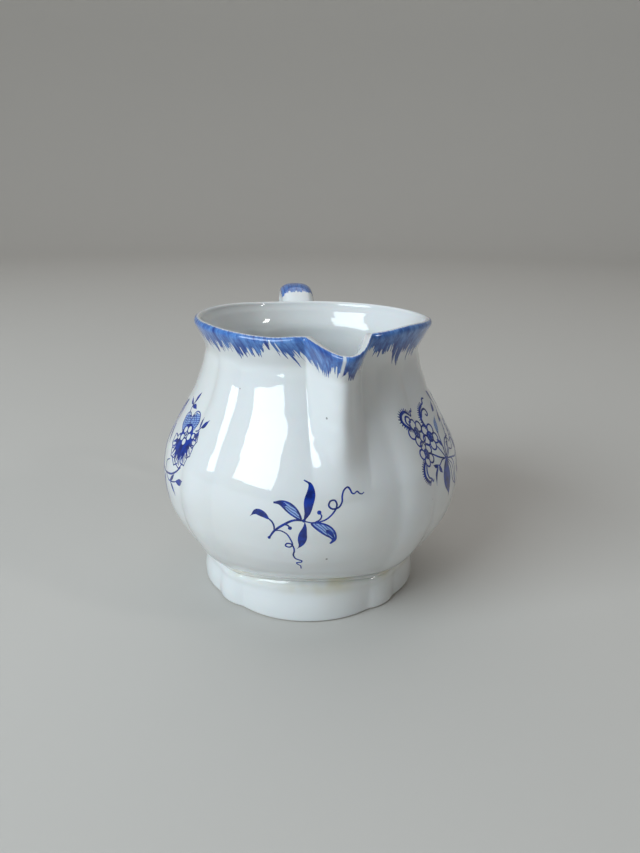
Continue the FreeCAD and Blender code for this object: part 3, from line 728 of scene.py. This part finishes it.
def draw_flower(solid, hatched, white, centre, tilt, size):
    """A big flower: a hatched heart-shaped petal above, dots round its eye and a fan of dark petals below."""
    def at(x, y):
        return turned((x * size, y * size), centre, tilt)

    for side in (-1, 1):
        lobe_line = [at(side * 0.6, 0.8), at(side * 2.3, 3.2), at(side * 2.8, 5.6), at(side * 2.4, 7.9)]
        hatched.blade(lobe_line, 6.8 * size, 0.6)
        solid.stroke([at(side * 4, 1.4), at(side * 5.7, 4.3), at(side * 5, 7), at(side * 2.4, 8),
                      at(0, 6)], 0.35)
        for inner in (0.72, 0.46):
            solid.stroke([at(side * 4.2 * inner, 2.6), at(side * 5.2 * inner, 4.5),
                          at(side * 4.2 * inner, 6.3), at(side * 2.3 * inner, 6.8),
                          at(0, 5.8 * inner + 1)], 0.24)
    solid.dot(centre, 4.0 * size)
    for i in range(16):
        angle = math.radians(-178 + 11.6 * i)
        reach = 8.6 + 1.8 * (i % 2)
        tip = (0.84 * reach * math.cos(angle), reach * math.sin(angle))
        petal = [at(tip[0] * share, tip[1] * share) for share in (0.3, 0.6, 1)]
        solid.blade(petal, 2.0 * size, 0.36)
    for i in range(7):
        angle = math.radians(-168 + 26 * i)
        tip = (9.9 * math.cos(angle), 11.8 * math.sin(angle))
        petal = [at(tip[0] * share, tip[1] * share) for share in (0.4, 0.7, 1)]
        solid.outlined_blade(petal, 5.2 * size, 0.66, 0.42)
        solid.stroke([at(tip[0] * share, tip[1] * share) for share in (0.6, 0.9)], 0.5)
    for i in range(5):
        angle = math.radians(-90 + 72 * i)
        white.dot(at(2.3 * math.cos(angle), 2.3 * math.sin(angle)), 1.05 * size)
    for side in (-1, 1):
        white.dot(at(side * 4.8, -0.6), 0.8 * size)
    white.ring(centre, 0.7 * size, 0.25)


def draw_twig(solid, start, tilt, length):
    """A little twig with a leaf at its end and one on either side."""
    def at(x, y):
        return turned((x * length, y * length), start, tilt)

    solid.stroke([start, at(0.03, 0.3), at(0, 0.6)], 0.4)
    solid.blade([at(0, 0.5), at(0.06, 0.8), at(0, 1.1)], 0.22 * length)
    solid.blade([at(0.02, 0.3), at(0.25, 0.45), at(0.5, 0.72)], 0.2 * length)
    solid.blade([at(0.02, 0.28), at(-0.24, 0.4), at(-0.4, 0.66)], 0.2 * length)


def draw_left_bouquet(solid, hatched, white):
    """The bouquet on the left panel, round one big flower."""
    stroke, blade = solid.stroke, solid.blade
    draw_flower(solid, hatched, white, (0, 0), 16, 0.93)
    stroke([(-4.6, 6), (-4.9, 8.4), (-3.9, 10.6)], 0.4)
    blade([(-4.5, 9.4), (-3.6, 11.6), (-2.2, 13.6)], 1.2)
    blade([(-4.8, 8.4), (-2.9, 8.7), (-1, 8.2)], 1.5)
    blade([(-4.9, 8.8), (-6.6, 9.3), (-8.4, 10.6)], 1.1)
    stroke([(4.4, 2.4), (6.2, 3), (7.8, 4.6)], 0.45)
    blade([(6.8, 3.8), (6.4, 5.6), (6.8, 7.6)], 1.2)
    blade([(7.6, 4.4), (9, 5.4), (10.8, 7.6)], 1.6)
    blade([(7.4, 3.4), (7.2, 1.6), (8.6, -0.2)], 1.4)
    stroke([(4.4, -9.6), (1.2, -12.2), (-3, -14.2), (-11, -15.4), (-17, -14)], 0.7)
    stroke([(-5.4, -9.6), (-8.6, -11.4), (-9.4, -14.6)], 0.45)
    stroke([(-8, -15.2), (-4.8, -16.8), (-1, -16.4), (3, -15)], 0.5)
    blade([(2, -15.3), (4.6, -14.8), (7.6, -13.2)], 2.3)
    blade([(-3.2, -16.8), (-1.4, -15.2), (0.6, -13)], 1.4)
    blade([(-2.8, -16.8), (-0.8, -18.4), (1.2, -20.8)], 1.2)
    blade([(-9, -16), (-10.4, -20.4), (-9.2, -26.4)], 2.2)
    blade([(-12, 8.8), (-14.8, 6.4), (-16.8, 2)], 1.7)
    blade([(-14.6, 0), (-13.9, -3), (-11.8, -6)], 1.6)
    stroke([(-17, -14), (-18.4, -6), (-15.4, 0.6), (-12.4, 8)], 0.5)
    draw_ring_flower(solid, hatched, (-22.6, 3), 1.5, 20)
    stroke([(-18.2, -7), (-20.6, -3.4), (-22.2, 0.2)], 0.45)
    draw_twig(solid, (-18, -10), 60, 8)
    draw_twig(solid, (-16.4, -14.2), 150, 8)


def draw_ring_flower(solid, hatched, centre, radius, start):
    """Five drawn rings round a dark, hatched eye."""
    for i in range(5):
        angle = math.radians(start + 72 * i)
        place = (centre[0] + 1.75 * radius * math.cos(angle), centre[1] + 1.6 * radius * math.sin(angle))
        solid.ring(place, radius, 0.55)
    hatched.dot(centre, radius * 1.05)
    solid.ring(centre, radius * 0.95, 0.5)
    solid.dot(centre, radius * 0.5)


def draw_fern(solid, outer, scroll, end, side):
    """A scrolled frond: a thick line with hairs on its outer side, an inner scroll and a wavy end."""
    solid.stroke(outer, 1)
    solid.comb(outer, 1.15, side=side)
    solid.stroke(scroll, 0.65)
    solid.stroke(end, 0.7)


def draw_right_bouquet(solid, hatched, white):
    """The bouquet on the right panel: ring flowers, scrolled fronds and hanging leaves from one knot."""
    stroke, blade = solid.stroke, solid.blade
    draw_ring_flower(solid, hatched, (-11, 11.2), 1.65, 100)
    draw_ring_flower(solid, hatched, (-4.4, 8.3), 1.6, 120)
    draw_ring_flower(solid, hatched, (-10.9, 4.4), 1.5, 95)
    draw_fern(solid, [(-12.6, 12.8), (-14.8, 13.9), (-16, 15.8), (-15, 17.7), (-12.8, 18.2), (-11.2, 17)],
              [(-12.9, 13.4), (-14.4, 15.2), (-13.4, 16.8), (-12, 16.2), (-12.2, 14.9), (-13.2, 15.2)],
              [(-11.2, 17), (-10.2, 16.4), (-9.6, 17.6), (-8.6, 17.4), (-7.8, 18.2)], -1)
    draw_fern(solid, [(-3.8, 11), (-4.9, 12.8), (-4.8, 14.8), (-3.4, 16.8), (-1.2, 17.8)],
              [(-4.4, 14.4), (-2.6, 16.2), (-0.6, 16.4), (0.2, 15), (-0.8, 14.2), (-1.5, 15)],
              [(-1.2, 17.8), (0, 18.2), (0.8, 19.4), (2.2, 19.2)], -1)
    draw_fern(solid, [(-13.6, 2.8), (-15.6, 1.4), (-16.4, -0.9), (-15.4, -3), (-13.6, -4.2)],
              [(-13.8, 1.8), (-14.8, -0.2), (-14.4, -2.2), (-12.8, -3)],
              [(-13.6, -4.2), (-12.8, -3.2), (-11.8, -4.4), (-11, -3.8)], 1)
    stroke([(-3.4, 5.2), (-1.6, 2.6), (0, 0)], 0.5)
    stroke([(-8.2, 3.8), (-4, 1.4), (0, 0)], 0.55)
    blade([(-1.4, 6.6), (0.2, 4.8), (1, 2.8)], 1.3)
    blade([(0.2, 0), (-1.2, -3.2), (-1.4, -8.2), (0.2, -13.6)], 5.4)
    stroke([(0, 0), (-3, 0.3), (-5.6, -0.8), (-7, -0.3)], 0.45)
    blade([(-6.6, -0.4), (-7.9, -0.6), (-9.4, 0.2)], 1.3)
    blade([(-5.8, -0.7), (-5.6, -2.2), (-4.4, -3.8)], 1.6)
    blade([(-6.6, -0.8), (-8.6, -3.2), (-9.2, -6.8)], 1.2)
    hatched.blade([(1.2, 7.6), (2.4, 10.2), (4.6, 13)], 2.4)
    stroke([(1.4, 8.4), (0.6, 4), (0, 0)], 0.4)
    blade([(4.8, 14.2), (6.4, 15.2), (7.6, 17.2)], 1.8)
    blade([(7.4, 10), (8.8, 11.4), (9.6, 13.4)], 1.7)
    blade([(7, 20.6), (8.8, 18.8), (10.6, 15.6)], 1.6)
    stroke([(10.6, 15.6), (9, 9), (4.6, 3), (0, 0)], 0.4)
    stroke([(9, 7.4), (7.4, 6.6), (8, 5.2), (5.8, 5.4), (5.9, 3.9), (4.4, 4), (4, 2.6)], 0.4)
    solid.outlined_blade([(0.6, 0), (5, 3.6), (8, 2.2), (11.6, 4.6)], 3.4, line_width=0.4)
    solid.outlined_blade([(0.8, -0.4), (4.2, -3.6), (5.2, -8.6), (8, -12.4)], 4.2, line_width=0.4)
    stroke([(0.8, -0.4), (4.2, -3.6), (5.2, -8.6), (7, -11.2)], 0.3)
    stroke([(0, 0), (6, -1.4), (11, -2.4), (15.6, 0.2)], 0.6)
    draw_flower(solid, hatched, white, (19.6, 5.2), -34, 0.8)
    draw_twig(solid, (11, -2.4), -120, 9)
    draw_twig(solid, (13.6, -1.2), -170, 9)
    draw_twig(solid, (18.4, 12), -8, 8)


def make_prints():
    """The printed motifs, each with its solid, hatched and white shapes as pieces of their own."""
    solid_ink = ink("printed_cobalt", hatch=False)
    hatched_ink = ink("printed_cobalt_hatched", hatch=True)
    for name, place, draw in (("left_bouquet", LEFT_BOUQUET_PLACE, draw_left_bouquet),
                              ("right_bouquet", RIGHT_BOUQUET_PLACE, draw_right_bouquet)):
        solid, hatched, white = (Print(place, level) for level in (SOLID_LEVEL, HATCHED_LEVEL, WHITE_LEVEL))
        draw(solid, hatched, white)
        hatched.piece(name + "_hatching", hatched_ink)
        solid.piece(name + "_lines", solid_ink)
        white.piece(name + "_dots", white_glaze)
    solid, hatched = Print(SPRIG_PLACE, SOLID_LEVEL), Print(SPRIG_PLACE, HATCHED_LEVEL)
    draw_front_sprig(solid, hatched)
    hatched.piece("front_sprig_hatching", hatched_ink)
    solid.piece("front_sprig_lines", solid_ink)


# -------------------------------------------------------------------------------------------------- stage
def make_floor():
    """A plain pale floor that curves up into a round backdrop."""
    reach, rise, bend = 2200.0, 2400.0, 600.0
    profile = [(radius, 0.0) for radius in (20.0, 500.0, 1200.0, reach - bend)]
    for angle in np.radians(range(10, 91, 10)):
        profile.append((reach - bend + bend * math.sin(angle), bend - bend * math.cos(angle)))
    profile.append((reach, rise))
    turns = np.linspace(0, 360, 72, endpoint=False)
    floor = grid_mesh("floor", [around(turns, radius, height) for radius, height in profile], caps=("first",))
    material = bpy.data.materials.new("floor_paper")
    material.use_nodes = True
    shader = material.node_tree.nodes["Principled BSDF"]
    shader.inputs["Base Color"].default_value = (0.56, 0.54, 0.51, 1)
    shader.inputs["Roughness"].default_value = 0.75
    floor.data.materials.append(material)


def area_light(name, place, target, size, power, colour):
    """A soft rectangular light that faces the target. Places are metres."""
    data = bpy.data.lights.new(name, "AREA")
    data.shape = "RECTANGLE"
    data.size, data.size_y = size
    data.energy = power
    data.color = colour
    light = add_to_scene(name, data)
    light.location = place
    light.rotation_euler = (Vector(target) - Vector(place)).to_track_quat("-Z", "Y").to_euler()


def make_lights():
    """A window-like key light at the left front, a small one at the right and a soft fill overhead."""
    area_light("window", (-0.95, -0.62, 0.72), (0, 0, 0.06), (0.9, 0.75), 16, (0.82, 0.93, 1.0))
    area_light("far_lamp", (0.9, -0.5, 0.8), (0, 0, 0.05), (0.09, 0.12), 1.0, (1.0, 0.98, 0.95))
    area_light("ceiling", (0, 0.8, 1.6), (0, 0.5, 0), (2.0, 2.0), 10, (1.0, 0.99, 0.97))
    world = bpy.data.worlds.new("studio")
    world.use_nodes = True
    background = world.node_tree.nodes["Background"]
    background.inputs["Color"].default_value = (0.72, 0.76, 0.80, 1)
    background.inputs["Strength"].default_value = 0.24
    bpy.context.scene.view_settings.view_transform = "Standard"
    bpy.context.scene.world = world


def make_camera():
    """The camera: close and high in front of the lip, a little to its left, looking down at the jug."""
    turn, distance, height = -6.3, 242.9, 137.5
    down, right, roll = math.radians(18.25), math.radians(0.91), math.radians(0.62)
    heading = math.radians(-turn)
    ahead = Vector((math.sin(heading + right), math.cos(heading + right), 0))
    view = Vector((ahead.x * math.cos(down), ahead.y * math.cos(down), -math.sin(down)))
    side = Vector((ahead.y, -ahead.x, 0))
    up = side.cross(view)
    tilted_side = side * math.cos(roll) + up * math.sin(roll)
    tilted_up = up * math.cos(roll) - side * math.sin(roll)
    data = bpy.data.cameras.new("camera")
    data.sensor_width = 36.0
    data.lens = 29.12
    data.clip_start = 0.01
    camera = add_to_scene("camera", data)
    place = Vector(metres(around(turn, distance, height))[0])
    axes = Matrix((tilted_side, tilted_up, -view)).transposed().to_4x4()
    camera.matrix_world = Matrix.Translation(place) @ axes
    bpy.context.scene.camera = camera


# ---------------------------------------------------------------------------------------------- materials
class Nodes:
    """Short ways to add shader nodes. A value is a number, a colour or another node's output."""

    def __init__(self, material):
        self.tree = material.node_tree

    def add(self, kind, inputs=None, **settings):
        """A new node with these settings, and its inputs fed by their names."""
        node = self.tree.nodes.new("ShaderNode" + kind)
        for name, value in settings.items():
            setattr(node, name, value)
        for name, value in (inputs or {}).items():
            self.feed(node.inputs[name], value)
        return node

    def feed(self, socket, value):
        if isinstance(value, bpy.types.NodeSocket):
            self.tree.links.new(value, socket)
        else:
            socket.default_value = value

    def math(self, operation, first, second):
        node = self.add("Math", operation=operation)
        self.feed(node.inputs[0], first)
        self.feed(node.inputs[1], second)
        return node.outputs[0]

    def plus(self, first, second):
        return self.math("ADD", first, second)

    def times(self, first, second):
        return self.math("MULTIPLY", first, second)

    def clamped(self, value):
        return self.math("MINIMUM", self.math("MAXIMUM", value, 0.0), 1.0)

    def ramp(self, value, low, high, to_low=0.0, to_high=1.0):
        """Smoothly from to_low, where the value is low, to to_high, where it is high."""
        inputs = {"Value": value, "From Min": low, "From Max": high, "To Min": to_low, "To Max": to_high}
        return self.add("MapRange", inputs, interpolation_type="SMOOTHSTEP").outputs["Result"]

    def noise(self, place, scale, detail=2.0, roughness=0.5):
        inputs = {"Vector": place, "Scale": scale, "Detail": detail, "Roughness": roughness}
        return self.add("TexNoise", inputs).outputs["Fac"]

    def drawn_out(self, place, share, scale, detail, roughness):
        """Noise whose grain is drawn out along Z, where it changes at only this share of its pace."""
        mapping = self.add("Mapping", {"Vector": place, "Scale": (1.0, 1.0, share)})
        return self.noise(mapping.outputs["Vector"], scale, detail, roughness)

    def mix(self, share, first, second):
        return self.add("Mix", {"Factor": share, "A": first, "B": second}, data_type="RGBA").outputs["Result"]

    def attribute(self, name, output):
        return self.add("Attribute", attribute_name=name).outputs[output]

    def part(self, vector, axis):
        return self.add("SeparateXYZ", {"Vector": vector}).outputs[axis]


WHITE = (0.745, 0.765, 0.775, 1)
WARM_WHITE = (0.73, 0.73, 0.70, 1)
SPECK = (0.16, 0.15, 0.15, 1)
WASH_BLUE = (0.080, 0.215, 0.56, 1)
PALE_BLUE = (0.20, 0.40, 0.74, 1)
DEEP_BLUE = (0.008, 0.036, 0.23, 1)
PRINT_BLUE = (0.003, 0.040, 0.36, 1)
PRINT_DARK = (0.002, 0.015, 0.15, 1)
HATCH_GROUND = (0.30, 0.44, 0.76, 1)
# Faint yellow for glaze pooled over the foot, which also serves as a painted reflection of the body's bulge
# on the foot's top.
POOL_AND_REFLECTION_TINT = (0.66, 0.62, 0.44, 1)
BARE_CLAY = (0.60, 0.54, 0.44, 1)
# Where the brushed blue starts and ends on the handle, in mm along its middle line.
HANDLE_BLUE = (18.8, 62.0)
GLAZE = {"Roughness": 0.32, "Specular IOR Level": 0.1, "Coat Weight": 1.0, "Coat Roughness": 0.035,
         "Coat IOR": 1.55, "Subsurface Weight": 0.08, "Subsurface Scale": 0.002}


def porcelain_colour(nodes, place):
    """White with a faint warm mottle and a few dark specks in the body."""
    mottle = nodes.ramp(nodes.noise(place, 38.0, 3.0), 0.35, 0.75, 0.0, 0.55)
    white = nodes.mix(mottle, WHITE, WARM_WHITE)
    cells = nodes.add("TexVoronoi", {"Vector": place, "Scale": 160.0}, feature="F1").outputs
    picked = nodes.add("SeparateColor", {"Color": cells["Color"]}).outputs["Red"]
    size = nodes.ramp(picked, 0.7, 1.0, 0.0, 0.06)
    speck = nodes.math("LESS_THAN", cells["Distance"], size)
    return nodes.mix(nodes.times(speck, 0.75), white, SPECK)


def glaze_shader(nodes, colour, place):
    """The clear gloss glaze over the colour, with the slow waviness of a dipped and fired surface."""
    level = nodes.plus(nodes.noise(place, 60.0, 2.0), nodes.times(nodes.noise(place, 320.0, 1.0), 0.05))
    bump = nodes.add("Bump", {"Strength": 0.35, "Distance": 0.0011, "Height": level}).outputs["Normal"]
    shader = nodes.tree.nodes["Principled BSDF"]
    for name, value in {**GLAZE, "Base Color": colour, "Normal": bump, "Coat Normal": bump}.items():
        nodes.feed(shader.inputs[name], value)


def new_material(name):
    """A material with its nodes, and the object's own coordinates, which are metres."""
    material = bpy.data.materials.new(name)
    material.use_nodes = True
    nodes = Nodes(material)
    return material, nodes, nodes.add("TexCoord").outputs["Object"]


def plain_glaze(name):
    """White porcelain under its glaze."""
    material, nodes, place = new_material(name)
    glaze_shader(nodes, porcelain_colour(nodes, place), place)
    return material


def brushed_blue(nodes, brush, below, reach):
    """Where the brushed cobalt lies and what colour it has. below is the distance under the crest, in mm."""
    hairs = nodes.drawn_out(brush, 0.06, 1.35, 2.5, 0.6)
    tufts = nodes.drawn_out(brush, 0.03, 0.5, 1.5, 0.5)
    wash = nodes.drawn_out(brush, 0.5, 0.5, 4.0, 0.65)
    length = nodes.times(reach, nodes.ramp(tufts, 0.34, 0.66, 0.72, 1.02))
    length = nodes.plus(length, nodes.ramp(hairs, 0.36, 0.62, -2.4, 0.8))
    lower = nodes.ramp(nodes.math("SUBTRACT", length, below), -0.16, 0.24)
    upper = nodes.ramp(nodes.plus(below, nodes.ramp(hairs, 0.3, 0.7, -0.15, 0.15)), 0.1, 0.75)
    share = nodes.math("DIVIDE", below, reach)
    depth = nodes.plus(nodes.ramp(share, 0.25, 0.95, 0.0, 0.5), nodes.ramp(hairs, 0.42, 0.66, -0.1, 0.3))
    depth = nodes.plus(depth, nodes.ramp(wash, 0.36, 0.68, -0.12, 0.6))
    light = nodes.mix(nodes.ramp(wash, 0.3, 0.5, 0.55, 0.0), WASH_BLUE, PALE_BLUE)
    return nodes.times(lower, upper), nodes.mix(nodes.clamped(depth), light, DEEP_BLUE)


def vessel_glaze():
    """White porcelain with the brushed cobalt border under its rim."""
    material, nodes, place = new_material("porcelain_with_brushed_rim")
    brush = nodes.attribute("brush", "Vector")
    where, blue = brushed_blue(nodes, brush, nodes.part(brush, "Z"), nodes.attribute("brush_reach", "Fac"))
    gap = nodes.ramp(nodes.attribute("brush_gap", "Fac"), 0.2, 0.5, 0.12, 1.0)
    glaze_shader(nodes, nodes.mix(nodes.times(where, gap), porcelain_colour(nodes, place), blue), place)
    return material


def foot_glaze():
    """White porcelain tinted faintly yellow in patches over the foot's top: partly glaze pooled in the
    corner, partly a painted reflection of the body's bulge.
    """
    material, nodes, place = new_material("porcelain_pool_and_painted_reflection")
    height = nodes.part(place, "Z")
    # Painted reflection: the foot's top, from 8.5 mm up, gets patches of warm yellow for the body's bulge
    # reflected there, along with its pooled glaze.
    high = nodes.ramp(height, 0.0085, 0.0135)
    patchy = nodes.ramp(nodes.noise(place, 85.0, 2.0), 0.38, 0.66, 0.05, 0.75)
    bare = nodes.ramp(height, 0.0002, 0.0007, 0.8, 0.0)
    colour = nodes.mix(nodes.times(high, patchy), porcelain_colour(nodes, place), POOL_AND_REFLECTION_TINT)
    glaze_shader(nodes, nodes.mix(bare, colour, BARE_CLAY), place)
    return material


def handle_glaze():
    """White porcelain with a feathered stroke of cobalt over the top of the handle."""
    material, nodes, place = new_material("porcelain_brushed_handle")
    along = nodes.attribute("along", "Fac")
    brush = nodes.add("CombineXYZ", {"X": nodes.times(nodes.part(place, "X"), 1000.0), "Z": along}).outputs[0]
    hairs = nodes.drawn_out(brush, 0.05, 1.6, 2.5, 0.6)
    wash = nodes.drawn_out(brush, 0.3, 0.6, 4.0, 0.65)
    ends = nodes.ramp(hairs, 0.35, 0.65, -2.4, 2.4)
    first, last = HANDLE_BLUE
    start = nodes.ramp(nodes.math("SUBTRACT", along, nodes.times(ends, 0.35)), first - 0.3, first + 0.3)
    end = nodes.ramp(nodes.plus(along, nodes.times(ends, 1.6)), last - 0.4, last + 0.4, 1.0, 0.0)
    outward = nodes.plus(nodes.attribute("outward", "Fac"), nodes.ramp(wash, 0.3, 0.7, -0.1, 0.1))
    where = nodes.times(nodes.times(start, end), nodes.ramp(outward, 0.1, 0.22))
    depth = nodes.plus(nodes.ramp(hairs, 0.4, 0.66, -0.1, 0.4), nodes.ramp(wash, 0.35, 0.7, 0.05, 0.6))
    blue = nodes.mix(nodes.clamped(depth), WASH_BLUE, DEEP_BLUE)
    glaze_shader(nodes, nodes.mix(where, porcelain_colour(nodes, place), blue), place)
    return material


def ink(name, hatch):
    """Printed cobalt under the glaze, solid or, with hatch, as fine lines on a pale wash."""
    material, nodes, place = new_material(name)
    colour = nodes.mix(nodes.ramp(nodes.noise(place, 420.0, 2.0), 0.3, 0.7), PRINT_BLUE, PRINT_DARK)
    if hatch:
        inputs = {"Vector": place, "Scale": 620.0, "Distortion": 3.0, "Detail": 1.0}
        waves = nodes.add("TexWave", inputs, wave_type="BANDS", bands_direction="DIAGONAL")
        colour = nodes.mix(nodes.ramp(waves.outputs["Fac"], 0.42, 0.6, 0.0, 0.75), HATCH_GROUND, colour)
    glaze_shader(nodes, colour, place)
    return material


def finish_piece(piece, material, slot, *nodes):
    """Gives a piece its material and its body, and hides the CAD nodes that it stands for. slot is not used.
    """
    piece.data.materials.append(material)
    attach(piece, "root")
    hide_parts(*nodes)


make_camera()
make_floor()
make_lights()
white_glaze = plain_glaze("porcelain_glaze")
pool_and_painted_reflection_glaze = foot_glaze()
finish_piece(make_vessel(), vessel_glaze(), "body_glaze", "vessel")
finish_piece(make_foot(), pool_and_painted_reflection_glaze, "foot_glaze", "foot_ring")
finish_piece(make_foot_bead(), pool_and_painted_reflection_glaze, "slip", "foot_luting")
finish_piece(make_handle(), handle_glaze(), "handle_glaze", "handle")
finish_piece(make_luting("handle_upper_slip", 0.0, 0.10), white_glaze, "slip", "handle_upper_luting")
finish_piece(make_luting("handle_lower_slip", 1.0, 0.89), white_glaze, "slip", "handle_lower_luting")
make_prints()
